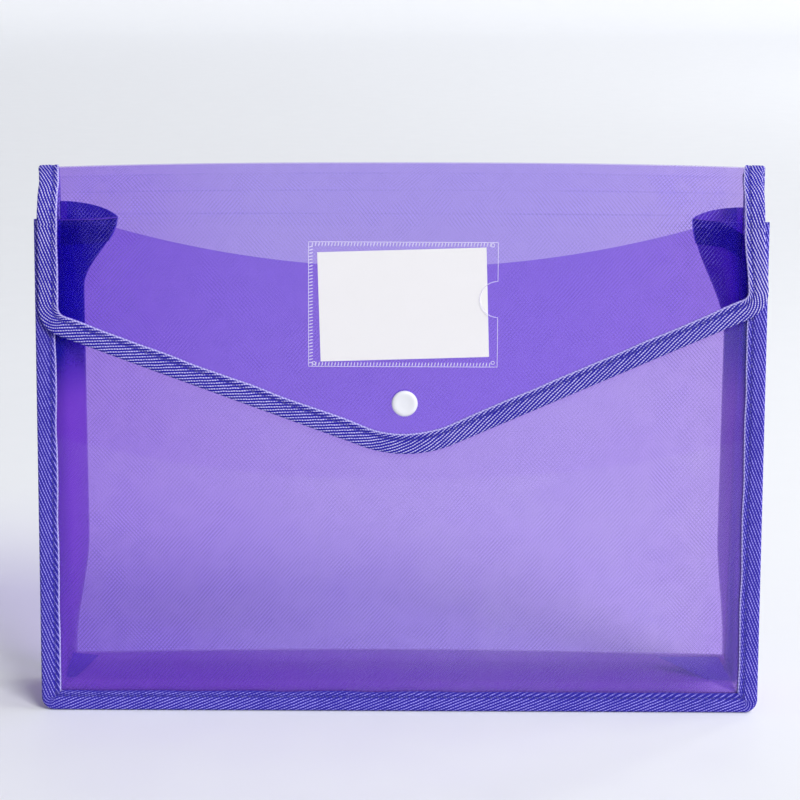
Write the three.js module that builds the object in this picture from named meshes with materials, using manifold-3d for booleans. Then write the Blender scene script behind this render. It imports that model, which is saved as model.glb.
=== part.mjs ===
// Expanding document pouch: two plastic panels with bound edges, a folded gusset strip
// between them, and a V-shaped flap that comes forward over the mouth and snaps shut.
// Millimetres and degrees. +Z is up, the front faces -Y, and the origin lies on the floor
// under the middle of the pouch.
import * as THREE from 'three';
import * as BufferGeometryUtils from 'three/addons/utils/BufferGeometryUtils.js';
import Module from 'manifold-3d';

const wasm = await Module();
wasm.setup();

// Overall size
const pouchWidth = 330;
const ridgeHeight = 247;
const baseDepth = 44;
const frontLean = 4;
const mouthBelowCrease = 2.266;
const mouthDip = 21;
const mouthShoulder = 24;

// Sheets, binding tape, and the clearances between layers
const sheet = 0.5;
const gussetSheet = 0.5;
const tape = 0.6;
const tapeWidth = 9.2;
const layerGap = 0.3;
const coverGap = 0.4;
const seatGap = 0.1;
const cornerRadius = 6;

// Scored strips between the back panel and the flap, and how steeply each falls forward
const spinePitch = 10;
const spineFalls = [25, 37, 62];

// Flap: how far its two shoulders and its point lie below the last score line
const shoulderDropLeft = 51;
const shoulderDropRight = 42;
const pointDrop = 112;
const pointOffset = 3.8;
const shoulderRadius = 14;
const pointRadius = 56;

// Gusset strip: how far its centre fold reaches in from the pouch's outer edge
const gussetLeft = { fold: 20.5, ear: 36, earLength: 32 };
const gussetRight = { fold: 17.5, ear: 33, earLength: 52 };
const gussetFloorFold = 21.5;
const gussetCornerIn = 13;
const gussetCornerUp = 19;
const gussetCornerReach = 80;
const gussetFullness = 0.75;

// Label pocket on the flap, welded on three sides and open on the right, with its card
const pocketWidth = 85.4;
const pocketHeight = 56.6;
const pocketDrop = 11.4;
const pocketOffset = 0.8;
const pocketWeld = 2.2;
const pocketCorner = 1.5;
const film = 0.3;
const notchRadius = 7.8;
const notchRise = 2.6;
const cardThickness = 0.3;
const cardTilt = 1.8;
const cardPlay = 1.5;
const cardInset = 2.7;
const cardShort = 4.7;

// Snap fastener: cap and socket on the flap, stud and inner cap on the front panel
const snapFromPoint = 27.5;
const snapOffset = 1.7;
const capDiameter = 11.8;
const capHeight = 2;
const capEdge = 0.7;
const innerCapHeight = 1.1;
const innerCapEdge = 0.5;
const prongDiameter = 2.4;
const snapFloor = 0.4;
const socketDiameter = 10.8;
const studDiameter = 4.6;
const studPlay = 0.8;
const studDisc = 0.5;
const studChamfer = 0.3;

// Facets
const arcSegments = 10;
const mouthSegments = 36;
const snapSegments = 40;
const domeSegments = 6;
const gussetSideSteps = 18;
const gussetFloorSteps = 18;
const gussetLeafSteps = 7;

// Sizes that follow from the layers
const bodySlot = sheet + gussetSheet + 3 * layerGap;
const bodyBinding = bodySlot + 2 * tape;
const flapSlot = sheet + 2 * layerGap;
const flapBinding = flapSlot + 2 * tape;
const edgeInset = tape + layerGap;
const panelOffset = (gussetSheet + layerGap) / 2;
const flangeOffset = (sheet + layerGap) / 2;
const flapOffset = bodyBinding / 2 + coverGap + flapBinding / 2;
const halfWidth = pouchWidth / 2;
const cutMargin = 1;
const weldDistance = 1e-4;

const radians = THREE.MathUtils.degToRad;
const degrees = THREE.MathUtils.radToDeg;
const rightAngle = degrees(Math.PI / 2);
const sum = (list, size) => list.reduce((total, item) => total + size(item), 0);

// Side view: a point is (y, z). A sheet that leans back by an angle rises along upAlong,
// and rearOf is its normal on the side away from the front.
const upAlong = (lean) => new THREE.Vector2(Math.sin(radians(lean)), Math.cos(radians(lean)));
const rearOf = (lean) => new THREE.Vector2(Math.cos(radians(lean)), -Math.sin(radians(lean)));

const frontFoot = new THREE.Vector2(-baseDepth / 2, 0);
const backFoot = new THREE.Vector2(baseDepth / 2, 0);

// The closed flap hangs parallel to the front panel, clear of its binding
const flapFoot = frontFoot.clone().addScaledVector(rearOf(frontLean), -flapOffset);
const flapTop = ridgeHeight - sum(spineFalls, (fall) => spinePitch * Math.sin(radians(fall)));
const flapRise = (flapTop - flapFoot.y) / upAlong(frontLean).y;
const flapCrease = flapFoot.clone().addScaledVector(upAlong(frontLean), flapRise);
const frontHeight = flapRise - mouthBelowCrease;
const spineReach = sum(spineFalls, (fall) => spinePitch * Math.cos(radians(fall)));
const ridge = new THREE.Vector2(flapCrease.x + spineReach, ridgeHeight);

// The back panel leans forward, so its lean is negative, to meet the ridge
const backRise = ridge.clone().sub(backFoot);
const backLength = Math.sqrt(backRise.lengthSq() - panelOffset ** 2);
const backLean = degrees(Math.atan2(backRise.x, backRise.y) - Math.atan2(panelOffset, backLength));

// Inner angle at each fold while the flap is closed, from the ridge to the last score line
const sheetLeans = [...spineFalls, rightAngle - frontLean];
const foldAngles = sheetLeans.map((fall, k) => {
  const bend = k === 0 ? rightAngle + fall + backLean : fall - sheetLeans[k - 1];
  return 2 * rightAngle - bend;
});

// How far a square-ended layer stops short of a fold to clear the next layer there
function setback(thickness, k) {
  const half = radians(foldAngles[k] / 2);
  return (layerGap / 2 + (thickness / 2) * Math.cos(half)) / Math.sin(half);
}

// Outlines. A chain is a run of corners { x, z, r } with the sheet on its left, and each
// inner corner is rounded by its radius r.

function insetChain(chain, inset) {
  const edges = chain.slice(1).map((end, k) => {
    const start = chain[k];
    const along = new THREE.Vector2(end.x - start.x, end.z - start.z).normalize();
    const point = new THREE.Vector2(start.x - along.y * inset, start.z + along.x * inset);
    return { along, point, length: Math.hypot(end.x - start.x, end.z - start.z) };
  });
  return chain.map((corner, k) => {
    const before = edges[Math.max(k - 1, 0)];
    const after = edges[Math.min(k, edges.length - 1)];
    const place = before.point.clone();
    if (k > 0 && k < edges.length) {
      const turn = before.along.cross(after.along);
      const reach = after.point.clone().sub(before.point).cross(after.along) / turn;
      place.addScaledVector(before.along, reach);
    } else if (k > 0) {
      place.addScaledVector(before.along, before.length);
    }
    return { x: place.x, z: place.y, r: Math.max((corner.r ?? 0) - inset, 0) };
  });
}

function cornerPoints(before, corner, after) {
  const place = new THREE.Vector2(corner.x, corner.z);
  if (!before || !after || corner.r === 0) {
    return [place];
  }
  const back = new THREE.Vector2(before.x, before.z).sub(place).normalize();
  const ahead = new THREE.Vector2(after.x, after.z).sub(place).normalize();
  const half = Math.acos(THREE.MathUtils.clamp(back.dot(ahead), -1, 1)) / 2;
  const centre = back.clone().add(ahead).normalize().multiplyScalar(corner.r / Math.sin(half)).add(place);
  const start = back.clone().multiplyScalar(corner.r / Math.tan(half)).add(place).sub(centre).angle();
  const sweep = Math.PI - 2 * half;
  return Array.from({ length: arcSegments + 1 }, (_, k) => {
    const angle = start + (sweep * k) / arcSegments;
    return new THREE.Vector2(centre.x + corner.r * Math.cos(angle), centre.y + corner.r * Math.sin(angle));
  });
}

function chainPoints(chain, inset) {
  const corners = insetChain(chain, inset);
  return corners.flatMap((corner, k) => cornerPoints(corners[k - 1], corner, corners[k + 1]));
}

function bandPoints(chain, outer, inner) {
  return [...chainPoints(chain, outer), ...chainPoints(chain, inner).reverse()];
}

function lengthened(chain, extra) {
  const stretch = (end, next) => {
    const away = new THREE.Vector2(end.x - next.x, end.z - next.z).normalize().multiplyScalar(extra);
    return { ...end, x: end.x + away.x, z: end.z + away.y };
  };
  return [stretch(chain[0], chain[1]), ...chain.slice(1, -1), stretch(chain.at(-1), chain.at(-2))];
}

// Two sides and a bottom edge with rounded lower corners
function traySides(top, bottom) {
  return [
    { x: -halfWidth, z: top },
    { x: -halfWidth, z: bottom, r: cornerRadius },
    { x: halfWidth, z: bottom, r: cornerRadius },
    { x: halfWidth, z: top },
  ];
}

// Solids

function toSolid(geometry) {
  const bare = geometry.clone();
  bare.deleteAttribute('normal');
  bare.deleteAttribute('uv');
  const merged = BufferGeometryUtils.mergeVertices(bare, weldDistance);
  const vertProperties = Float32Array.from(merged.attributes.position.array);
  const triVerts = Uint32Array.from(merged.index.array);
  return new wasm.Manifold(new wasm.Mesh({ numProp: 3, vertProperties, triVerts }));
}

function toGeometry(solid) {
  const { vertProperties, triVerts } = solid.getMesh();
  const geometry = new THREE.BufferGeometry();
  geometry.setAttribute('position', new THREE.BufferAttribute(vertProperties, 3));
  geometry.setIndex(new THREE.BufferAttribute(triVerts, 1));
  return geometry;
}

// Flat plate in the XZ plane, with its middle plane at a given Y
function plate(outline, thickness, middle = 0) {
  const shape = outline instanceof THREE.Shape ? outline : new THREE.Shape(outline);
  const geometry = new THREE.ExtrudeGeometry(shape, { depth: thickness, bevelEnabled: false });
  geometry.rotateX(Math.PI / 2);
  geometry.translate(0, middle + thickness / 2, 0);
  return geometry;
}

// Tape folded round an edge: a band along the chain with a slot for the sheets' edges
function foldedTape(outside, inside, thickness, slot) {
  const band = toSolid(plate(bandPoints(outside, 0, tapeWidth), thickness));
  const room = bandPoints(lengthened(inside, cutMargin), tape, tapeWidth + cutMargin);
  return band.subtract(toSolid(plate(room, slot)));
}

// Removes what reaches below the floor from a solid given in a standing group's own frame
function standOnFloor(solid, group) {
  const floor = new THREE.BoxGeometry(2 * pouchWidth, baseDepth, baseDepth);
  floor.translate(0, group.position.y, -baseDepth / 2);
  group.updateMatrixWorld();
  floor.applyMatrix4(group.matrixWorld.clone().invert());
  return solid.subtract(toSolid(floor));
}

function withHole(points, x, z) {
  const shape = new THREE.Shape(points);
  shape.holes.push(new THREE.Path().absarc(x, z, prongDiameter / 2 + layerGap, 0, 2 * Math.PI, true));
  return shape;
}

// Surface grid of points, given a thickness as a closed shell
function shell(grid, thickness) {
  const rows = grid.length;
  const columns = grid[0].length;
  const positions = [];
  for (const side of [1, -1]) {
    for (let i = 0; i < rows; i += 1) {
      for (let j = 0; j < columns; j += 1) {
        const down = grid[Math.min(i + 1, rows - 1)][j].clone().sub(grid[Math.max(i - 1, 0)][j]);
        const across = grid[i][Math.min(j + 1, columns - 1)].clone().sub(grid[i][Math.max(j - 1, 0)]);
        const normal = down.cross(across).normalize();
        positions.push(...grid[i][j].clone().addScaledVector(normal, (side * thickness) / 2).toArray());
      }
    }
  }
  const at = (side, i, j) => side * rows * columns + i * columns + j;
  const index = [];
  const quad = (a, b, c, d) => index.push(a, b, c, a, c, d);
  for (let i = 0; i < rows - 1; i += 1) {
    for (let j = 0; j < columns - 1; j += 1) {
      quad(at(0, i, j), at(0, i + 1, j), at(0, i + 1, j + 1), at(0, i, j + 1));
      quad(at(1, i, j), at(1, i, j + 1), at(1, i + 1, j + 1), at(1, i + 1, j));
    }
  }
  for (let i = 0; i < rows - 1; i += 1) {
    quad(at(0, i, 0), at(1, i, 0), at(1, i + 1, 0), at(0, i + 1, 0));
    const last = columns - 1;
    quad(at(0, i + 1, last), at(1, i + 1, last), at(1, i, last), at(0, i, last));
  }
  for (let j = 0; j < columns - 1; j += 1) {
    quad(at(0, 0, j + 1), at(1, 0, j + 1), at(1, 0, j), at(0, 0, j));
    const last = rows - 1;
    quad(at(0, last, j), at(1, last, j), at(1, last, j + 1), at(0, last, j + 1));
  }
  const geometry = new THREE.BufferGeometry();
  geometry.setAttribute('position', new THREE.Float32BufferAttribute(positions, 3));
  geometry.setIndex(index);
  return geometry;
}

// Solid turned about the Y axis from a profile of [radius, y] points
function turned(profile) {
  return new THREE.LatheGeometry(profile.map(([r, y]) => new THREE.Vector2(r, y)), snapSegments);
}

// Materials

const finish = (color, roughness, opacity = 1) => {
  return () => new THREE.MeshStandardMaterial({
    color, roughness, metalness: 0, opacity, transparent: opacity < 1,
  });
};
const panelPlastic = finish(0x9580dc, 0.4, 0.55);
const gussetPlastic = finish(0x6a3cc0, 0.3, 0.75);
const wovenTape = finish(0x5b56b4, 0.9);
const snapPlastic = finish(0xeceef4, 0.35);
const clearFilm = finish(0xe6e2f6, 0.1, 0.25);
const cardStock = finish(0xeeeef1, 0.8);

function piece(name, geometry, material) {
  const mesh = new THREE.Mesh(geometry, material());
  mesh.name = name;
  return mesh;
}

// A group in the frame of a sheet: X across, Y to its rear, Z up along it
function sheetFrame(point, lean) {
  const group = new THREE.Group();
  group.position.set(0, point.x, point.y);
  group.rotation.x = -radians(lean);
  return group;
}

const pouch = new THREE.Group();
const backFrame = sheetFrame(backFoot, backLean);
const frontFrame = sheetFrame(frontFoot, frontLean);
const flapFrame = sheetFrame(flapCrease, frontLean);

// Heights of the snap, measured along the flap and along the front panel
const snapDrop = pointDrop - snapFromPoint;
const snapRise = flapRise - snapDrop;

function makeBack() {
  const top = backLength - setback(sheet, 0);
  const panel = plate(chainPoints(traySides(top, 0), edgeInset), sheet, panelOffset);
  const tapeTop = backLength - setback(bodyBinding, 0);
  const foot = -(bodyBinding / 2) * Math.tan(radians(Math.abs(backLean)));
  const binding = foldedTape(traySides(tapeTop, foot), traySides(tapeTop, 0), bodyBinding, bodySlot);
  backFrame.add(piece('back_panel', panel, panelPlastic));
  backFrame.add(piece('back_binding', toGeometry(standOnFloor(binding, backFrame)), wovenTape));
}

// The front panel's top edge dips in an arc between two level shoulders
function mouthEdge() {
  const reach = halfWidth - mouthShoulder;
  const radius = (reach ** 2 + mouthDip ** 2) / (2 * mouthDip);
  const centre = frontHeight - mouthDip + radius;
  const end = Math.atan2(frontHeight - centre, reach);
  const arc = new THREE.Path().absarc(0, centre, radius, end, -Math.PI - end, true);
  return arc.getPoints(mouthSegments);
}

function makeFront() {
  const sides = chainPoints(traySides(frontHeight, 0), edgeInset);
  const outline = withHole([...sides, ...mouthEdge()], snapOffset, snapRise);
  const foot = -(bodyBinding / 2) * Math.tan(radians(frontLean));
  const binding = foldedTape(
    traySides(frontHeight, foot), traySides(frontHeight, 0), bodyBinding, bodySlot,
  );
  frontFrame.add(piece('front_panel', plate(outline, sheet, -panelOffset), panelPlastic));
  frontFrame.add(piece('front_binding', toGeometry(standOnFloor(binding, frontFrame)), wovenTape));
}

// One scored strip of the top, with its bound ends
function makeSpineStrip(k, name) {
  const place = spineFalls.slice(0, k).reduce((point, fall) => {
    return point.addScaledVector(upAlong(rightAngle - fall), -spinePitch);
  }, ridge.clone());
  const frame = sheetFrame(place, rightAngle - spineFalls[k]);
  const span = (thickness) => {
    return { top: -setback(thickness, k), bottom: setback(thickness, k + 1) - spinePitch };
  };
  const flat = span(sheet);
  const width = pouchWidth - 2 * edgeInset;
  const strip = new THREE.BoxGeometry(width, sheet, flat.top - flat.bottom);
  strip.translate(0, 0, (flat.top + flat.bottom) / 2);
  frame.add(piece(`spine_${name}`, strip, panelPlastic));
  const bound = span(flapBinding);
  const left = [{ x: -halfWidth, z: bound.top }, { x: -halfWidth, z: bound.bottom }];
  const right = [{ x: halfWidth, z: bound.bottom }, { x: halfWidth, z: bound.top }];
  for (const [side, chain] of [['left', left], ['right', right]]) {
    const ends = toGeometry(foldedTape(chain, chain, flapBinding, flapSlot));
    frame.add(piece(`spine_${name}_binding_${side}`, ends, wovenTape));
  }
  return frame;
}

function flapSides(top) {
  return [
    { x: -halfWidth, z: top },
    { x: -halfWidth, z: -shoulderDropLeft, r: shoulderRadius },
    { x: pointOffset, z: -pointDrop, r: pointRadius },
    { x: halfWidth, z: -shoulderDropRight, r: shoulderRadius },
    { x: halfWidth, z: top },
  ];
}

function makeFlap() {
  const last = foldAngles.length - 1;
  const sides = chainPoints(flapSides(-setback(sheet, last)), edgeInset);
  const outline = withHole(sides, snapOffset, -snapDrop);
  const bound = flapSides(-setback(flapBinding, last));
  const binding = toGeometry(foldedTape(bound, bound, flapBinding, flapSlot));
  flapFrame.add(piece('flap_panel', plate(outline, sheet), panelPlastic));
  flapFrame.add(piece('flap_binding', binding, wovenTape));
}

// Clear film pocket: a sheet with a thumb notch, and welded rims on three of its sides
function makeLabelPocket() {
  const right = pocketWidth / 2;
  const low = -pocketHeight / 2;
  const rounded = [
    { x: right, z: -low },
    { x: -right, z: -low, r: pocketCorner },
    { x: -right, z: low, r: pocketCorner },
    { x: right, z: low },
  ];
  const cardMiddle = -(sheet / 2 + layerGap + cardThickness / 2);
  const filmMiddle = cardMiddle - (cardThickness / 2 + layerGap + film / 2);
  const filmInner = filmMiddle + film / 2;
  const rimDepth = -(sheet / 2 + seatGap) - filmInner;
  const cover = toSolid(plate(chainPoints(rounded, 0), film, filmMiddle));
  const notch = new THREE.Shape().absarc(right, notchRise, notchRadius, 0, 2 * Math.PI, false);
  const rim = toSolid(plate(bandPoints(rounded, 0, pocketWeld), rimDepth, filmInner + rimDepth / 2));
  const pocket = cover.subtract(toSolid(plate(notch, 2 * film, filmMiddle))).add(rim);
  const window = piece('label_window', toGeometry(pocket), clearFilm);
  const place = { x: pocketOffset, z: -pocketDrop - pocketHeight / 2 };
  window.position.set(place.x, 0, place.z);

  const cardWidth = pocketWidth - pocketWeld - cardInset - cardShort;
  const cardHeight = pocketHeight - 2 * (pocketWeld + cardPlay);
  const stock = new THREE.BoxGeometry(cardWidth, cardThickness, cardHeight);
  const card = piece('label_card', stock, cardStock);
  const cardX = place.x - pocketWidth / 2 + pocketWeld + cardInset + cardWidth / 2;
  card.position.set(cardX, cardMiddle, place.z);
  card.rotation.y = -radians(cardTilt);
  flapFrame.add(window, card);
}

// Domed cap with a prong, facing -Y, with y = 0 on the face of the sheet it is set in
function capProfile(height, edge) {
  const radius = capDiameter / 2;
  const dome = Array.from({ length: domeSegments + 1 }, (_, k) => {
    const turn = (Math.PI / 2) * (k / domeSegments);
    return [radius * Math.sin(turn), -seatGap - edge - (height - edge) * Math.cos(turn)];
  });
  const prongEnd = sheet + seatGap + snapFloor;
  return [
    ...dome,
    [radius, -seatGap],
    [prongDiameter / 2, -seatGap],
    [prongDiameter / 2, prongEnd],
    [0, prongEnd],
  ];
}

// Socket and stud meet in the room between the flap's sheet and the front panel's
function makeSnap() {
  const room = flapOffset - panelOffset - sheet;
  const hole = prongDiameter / 2 + layerGap;
  const bore = studDiameter / 2 + studPlay;
  const socketFloor = seatGap + snapFloor;
  const socketRim = room - seatGap - studDisc - layerGap;
  const socket = turned([
    [hole, seatGap],
    [socketDiameter / 2, seatGap],
    [socketDiameter / 2, socketRim],
    [bore, socketRim],
    [bore, socketFloor],
    [hole, socketFloor],
    [hole, seatGap],
  ]);
  const discTop = seatGap + studDisc;
  const studTop = room - socketFloor - layerGap;
  const stud = turned([
    [0, socketFloor + layerGap],
    [hole, socketFloor + layerGap],
    [hole, seatGap],
    [socketDiameter / 2, seatGap],
    [socketDiameter / 2, discTop],
    [studDiameter / 2, discTop],
    [studDiameter / 2, studTop - studChamfer],
    [studDiameter / 2 - studChamfer, studTop],
    [0, studTop],
  ]);
  stud.rotateX(Math.PI);
  const cap = turned(capProfile(capHeight, capEdge));
  const innerCap = turned(capProfile(innerCapHeight, innerCapEdge));
  innerCap.rotateX(Math.PI);

  cap.translate(snapOffset, -sheet / 2, -snapDrop);
  socket.translate(snapOffset, sheet / 2, -snapDrop);
  stud.translate(snapOffset, -panelOffset - sheet / 2, snapRise);
  innerCap.translate(snapOffset, -panelOffset + sheet / 2, snapRise);
  flapFrame.add(piece('flap_snap_cap', cap, snapPlastic));
  flapFrame.add(piece('flap_snap_socket', socket, snapPlastic));
  frontFrame.add(piece('panel_snap_stud', stud, snapPlastic));
  frontFrame.add(piece('panel_snap_cap', innerCap, snapPlastic));
}

// Gusset strip. A station runs from its edge in the front binding to its edge in the back
// binding, over the centre fold. Each place in it is given on the panels' shared outline.

function gussetPoint(x, z, across) {
  const front = frontFoot.clone().addScaledVector(rearOf(frontLean), flangeOffset);
  const back = backFoot.clone().addScaledVector(rearOf(backLean), -flangeOffset);
  front.addScaledVector(upAlong(frontLean), z);
  back.addScaledVector(upAlong(backLean), z);
  const point = front.lerp(back, (across + 1) / 2);
  return new THREE.Vector3(x, point.x, point.y);
}

function gussetStation(edge, inner, fold) {
  const bend = new THREE.Vector2().lerpVectors(inner, fold, gussetFullness);
  const leaf = Array.from({ length: gussetLeafSteps + 1 }, (_, k) => {
    const t = k / gussetLeafSteps;
    const near = (1 - t) ** 2;
    const middle = 2 * t * (1 - t);
    const place = inner.clone().multiplyScalar(near);
    place.addScaledVector(bend, middle).addScaledVector(fold, t ** 2);
    return { x: place.x, z: place.y, across: near + middle };
  });
  const half = [{ x: edge.x, z: edge.y, across: 1 }, ...leaf];
  const front = half.map(({ x, z, across }) => gussetPoint(x, z, -across));
  const back = half.slice(0, -1).reverse().map(({ x, z, across }) => gussetPoint(x, z, across));
  return [...front, ...back];
}

// Depth of the centre fold on one side, at a share t of the way down from its top end
function sideFold({ fold, ear, earLength }, t) {
  const height = THREE.MathUtils.lerp(frontHeight, gussetCornerUp, t);
  const earShare = THREE.MathUtils.smoothstep(height, frontHeight - earLength, frontHeight);
  const cornerShare = 1 - THREE.MathUtils.smoothstep(height, gussetCornerUp, gussetCornerReach);
  return fold + (ear - fold) * earShare + (gussetCornerIn - fold) * cornerShare;
}

function makeGusset() {
  const inset = cornerRadius - (cornerRadius - edgeInset) / Math.SQRT2;
  const lerp = THREE.MathUtils.lerp;
  const side = (sign, shape, t) => gussetStation(
    new THREE.Vector2(sign * (halfWidth - inset), lerp(frontHeight, inset, t)),
    new THREE.Vector2(sign * (halfWidth - tapeWidth), lerp(frontHeight, tapeWidth, t)),
    new THREE.Vector2(sign * (halfWidth - sideFold(shape, t)), lerp(frontHeight, gussetCornerUp, t)),
  );
  const floor = (t) => {
    const rise = (gussetFloorFold - gussetCornerUp) * Math.sin(Math.PI * t);
    const along = (reach) => lerp(-reach, reach, t);
    return gussetStation(
      new THREE.Vector2(along(halfWidth - inset), inset),
      new THREE.Vector2(along(halfWidth - tapeWidth), tapeWidth),
      new THREE.Vector2(along(halfWidth - gussetCornerIn), gussetCornerUp + rise),
    );
  };
  const stations = [];
  for (let k = 0; k < gussetSideSteps; k += 1) {
    stations.push(side(-1, gussetLeft, k / gussetSideSteps));
  }
  for (let k = 0; k < gussetFloorSteps; k += 1) {
    stations.push(floor(k / gussetFloorSteps));
  }
  for (let k = gussetSideSteps; k >= 0; k -= 1) {
    stations.push(side(1, gussetRight, k / gussetSideSteps));
  }
  return piece('gusset', shell(stations, gussetSheet), gussetPlastic);
}

makeBack();
makeFront();
makeFlap();
makeLabelPocket();
makeSnap();
pouch.add(backFrame, frontFrame, flapFrame, makeGusset());
['upper', 'middle', 'lower'].forEach((name, k) => pouch.add(makeSpineStrip(k, name)));

export default pouch;
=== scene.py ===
import math

import bmesh
import bpy
import numpy as np
from mathutils import Matrix, Vector, geometry


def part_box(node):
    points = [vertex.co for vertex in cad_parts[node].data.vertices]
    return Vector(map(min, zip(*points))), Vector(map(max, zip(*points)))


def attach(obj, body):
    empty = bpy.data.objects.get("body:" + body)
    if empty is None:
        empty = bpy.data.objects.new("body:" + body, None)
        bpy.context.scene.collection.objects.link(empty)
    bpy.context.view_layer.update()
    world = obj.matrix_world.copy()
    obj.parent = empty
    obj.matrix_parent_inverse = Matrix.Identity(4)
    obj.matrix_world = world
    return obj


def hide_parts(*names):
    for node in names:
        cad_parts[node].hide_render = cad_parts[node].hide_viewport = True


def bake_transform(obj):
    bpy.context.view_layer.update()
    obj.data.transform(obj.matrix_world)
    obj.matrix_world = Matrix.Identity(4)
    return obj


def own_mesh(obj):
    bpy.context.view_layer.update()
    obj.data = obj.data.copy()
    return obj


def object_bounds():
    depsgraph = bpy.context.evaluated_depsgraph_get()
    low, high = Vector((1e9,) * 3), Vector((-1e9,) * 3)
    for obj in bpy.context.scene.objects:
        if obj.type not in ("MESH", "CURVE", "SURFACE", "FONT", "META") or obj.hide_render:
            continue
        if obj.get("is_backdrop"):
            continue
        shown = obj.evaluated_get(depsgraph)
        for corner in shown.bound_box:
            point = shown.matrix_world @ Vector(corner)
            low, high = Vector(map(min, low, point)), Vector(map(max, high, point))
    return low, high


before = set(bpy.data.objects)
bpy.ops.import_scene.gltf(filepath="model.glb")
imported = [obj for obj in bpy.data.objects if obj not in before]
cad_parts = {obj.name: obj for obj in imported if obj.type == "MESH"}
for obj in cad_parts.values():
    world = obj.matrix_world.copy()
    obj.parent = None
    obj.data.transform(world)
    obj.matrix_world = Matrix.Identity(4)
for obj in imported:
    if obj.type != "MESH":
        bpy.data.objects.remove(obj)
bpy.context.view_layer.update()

# Sizes are in millimetres until a mesh is made. The stage and the camera are in metres.
MM = 0.001
X = np.array([1.0, 0.0, 0.0])

# Sizes repeated from the part's source
HALF_WIDTH = 165.0
CORNER = 6.0
TAPE_WIDTH = 9.2
GROOVE_AT = 6.7
TAPE = 0.6
SHEET = 0.5
EDGE_INSET = 0.9
PANEL_OFFSET = 0.4
FLANGE_OFFSET = 0.4
BODY_HALF = 1.55
BODY_SLOT = 0.95
FLAP_HALF = 1.15
FLAP_SLOT = 0.55
FRONT_HEIGHT = 226.0
MOUTH_DIP = 21.0
MOUTH_REACH = 141.0
BACK_LENGTH = 247.193
HALF_DEPTH = 22.0
FRONT_LEAN, BACK_LEAN = 4.0, -2.278
RIDGE = np.array([12.5747, 247.0])
SPINE_PITCH = 10.0
SPINE_FALLS = (25.0, 37.0, 62.0)
HALF_STRIP = SPINE_PITCH / 2
SPINE_LENGTH = SPINE_PITCH * len(SPINE_FALLS)
FLAP_CHAIN = (
    (-HALF_WIDTH, -51.0, 14.0),
    (3.8, -112.0, 56.0),
    (HALF_WIDTH, -42.0, 14.0),
)


class Plane:
    """Frame of a flat sheet: x across, d to its rear and h up along it."""

    def __init__(self, foot_y, foot_z, lean):
        a = math.radians(lean)
        self.foot = np.array([0.0, foot_y, foot_z])
        self.up = np.array([0.0, math.sin(a), math.cos(a)])
        self.rear = np.array([0.0, math.cos(a), -math.sin(a)])

    def at(self, x, h, d):
        x, h, d = np.broadcast_arrays(*(np.asarray(v, float) for v in (x, h, d)))
        x, h, d = x[..., None], h[..., None], d[..., None]
        return self.foot + x * X + h * self.up + d * self.rear


BACK = Plane(HALF_DEPTH, 0.0, BACK_LEAN)
FRONT = Plane(-HALF_DEPTH, 0.0, FRONT_LEAN)

# The folds over the top and the run of the sheet on either side of each, as (y, z)
folds, directions = [RIDGE], [BACK.up[1:]]
for fall in SPINE_FALLS:
    a = math.radians(fall)
    directions.append(np.array([-math.cos(a), -math.sin(a)]))
    folds.append(folds[-1] + directions[-1] * SPINE_PITCH)
FLAP = Plane(*folds[-1], FRONT_LEAN)
directions.append(-FLAP.up[1:])

# Low arch of the ridge: its rise in the middle, and a lift of it all, more on the right
ARCH_RISE, ARCH_POWER = 2.4, 2.5
ARCH_LIFT, ARCH_TILT = 0.7, 0.6
ARCH_FROM, ARCH_OVER = 215.0, 32.0

# Draw of the flap's two sides: amount, height it starts at, height it takes, easing at the top
DRAW_LEFT = (1.8, 150.0, 45.0, 0.7)
DRAW_RIGHT = (2.5, 190.0, 38.0, 0.5)
DRAW_BAND, DRAW_EASE = 6.0, 7.0


# Meshes


def placed(name, data):
    """A new object in the scene."""
    obj = bpy.data.objects.new(name, data)
    bpy.context.scene.collection.objects.link(obj)
    return obj


def quads(*corners):
    """Faces from four equal grids of vertex numbers."""
    return np.stack(corners, -1).reshape(-1, 4).tolist()


class Maker:
    """Collects vertices and faces of one piece."""

    def __init__(self):
        self.verts, self.faces, self.uvs, self.slots = [], [], [], []
        self.count = 0

    def add(self, verts, faces, uvs=None, slot=0):
        verts = np.asarray(verts, float).reshape(-1, 3)
        self.verts.append(verts)
        self.uvs.append(np.zeros((len(verts), 2)) if uvs is None else np.asarray(uvs, float))
        self.faces += [tuple(int(i) + self.count for i in f) for f in faces]
        self.slots += [slot] * len(faces)
        self.count += len(verts)

    def grid(self, points, uvs=None, closed=False, caps=False, slot=0):
        """Rows of points as a surface; closed joins the last row to the first."""
        index = np.arange(points[..., 0].size).reshape(points.shape[:2])
        ends = [index[:, 0].tolist(), index[::-1, -1].tolist()] if caps else []
        if closed:
            index = np.concatenate([index, index[:1]])
        faces = quads(index[:-1, :-1], index[:-1, 1:], index[1:, 1:], index[1:, :-1])
        self.add(points, faces + ends, None if uvs is None else uvs.reshape(-1, 2), slot)

    def object(self, name, materials, angle=40, shape=None):
        mesh = bpy.data.meshes.new(name)
        verts = np.concatenate(self.verts)
        if shape:
            verts = shape(verts)
        mesh.from_pydata((verts * MM).tolist(), [], self.faces)
        mesh.polygons.foreach_set("material_index", self.slots)
        uvs = np.concatenate(self.uvs) * MM
        layer = mesh.uv_layers.new(name="along")
        loops = np.zeros(len(mesh.loops), np.int32)
        mesh.loops.foreach_get("vertex_index", loops)
        layer.data.foreach_set("uv", uvs[loops].ravel())
        for material in materials:
            mesh.materials.append(material)
        b = bmesh.new()
        b.from_mesh(mesh)
        bmesh.ops.recalc_face_normals(b, faces=b.faces)
        b.to_mesh(mesh)
        b.free()
        mesh.shade_smooth()
        mesh.set_sharp_from_angle(angle=math.radians(angle))
        return placed(name, mesh)


SMALLEST_CORNER = 0.25


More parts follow.
